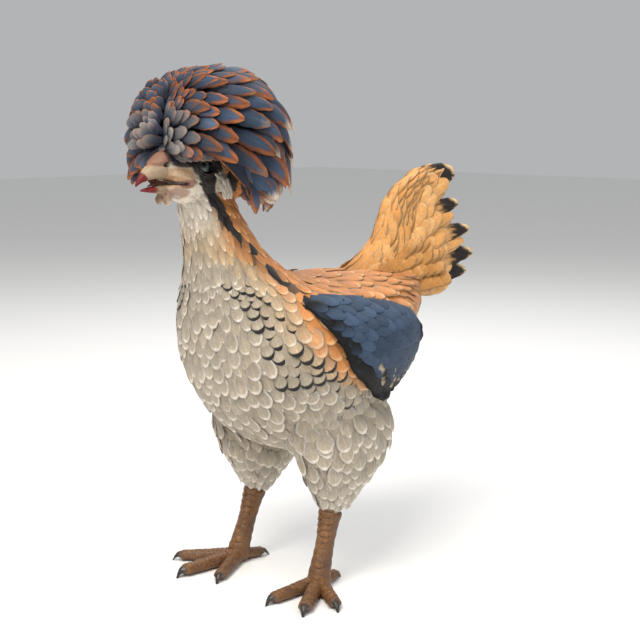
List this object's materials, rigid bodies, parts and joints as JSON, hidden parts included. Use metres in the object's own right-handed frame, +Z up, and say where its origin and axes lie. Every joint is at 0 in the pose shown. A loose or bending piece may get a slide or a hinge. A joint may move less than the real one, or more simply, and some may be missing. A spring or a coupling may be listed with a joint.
{
  "type": "crested hen figure",
  "caption": "Standing crested hen with a full feather crest hiding the brow, folded wings and an upright fan tail, as a still life-size model",
  "frame": {"origin": "on the floor, under the middle of the bird's box", "axes": "+Z up, the bird looks along -Y, its left side is +X"},
  "size_m": [0.1958, 0.3426, 0.4009],
  "materials": {
    "bill_horn": "satin horn",
    "breast_plumage": "dry feather",
    "claw_horn": "satin horn",
    "crest_feather": "dry feather",
    "ear_skin": "pale skin",
    "eye_glass": "wet gloss",
    "face_skin": "dark skin",
    "leg_scale": "dry scales",
    "neck_plumage": "dry feather",
    "tail_feather": "smooth feather",
    "thigh_plumage": "downy feather",
    "tongue_skin": "damp skin",
    "wattle_skin": "soft skin",
    "wing_feather": "smooth feather"
  },
  "bodies": {
    "root": {"bill_lower": "bill_horn", "bill_upper": "bill_horn", "claw_left_hind": "claw_horn", "claw_left_inner": "claw_horn", "claw_left_middle": "claw_horn", "claw_left_outer": "claw_horn", "claw_right_hind": "claw_horn", "claw_right_inner": "claw_horn", "claw_right_middle": "claw_horn", "claw_right_outer": "claw_horn", "crest": "crest_feather", "ear_left": "ear_skin", "ear_right": "ear_skin", "eye_left": "eye_glass", "eye_right": "eye_glass", "foot_left": "leg_scale", "foot_right": "leg_scale", "head": "face_skin", "neck": "neck_plumage", "shank_left": "leg_scale", "shank_right": "leg_scale", "tail": "tail_feather", "thigh_left": "thigh_plumage", "thigh_right": "thigh_plumage", "tongue": "tongue_skin", "torso": "breast_plumage", "wattle_left": "wattle_skin", "wattle_right": "wattle_skin", "wing_left": "wing_feather", "wing_right": "wing_feather"}
  },
  "joints": []
}
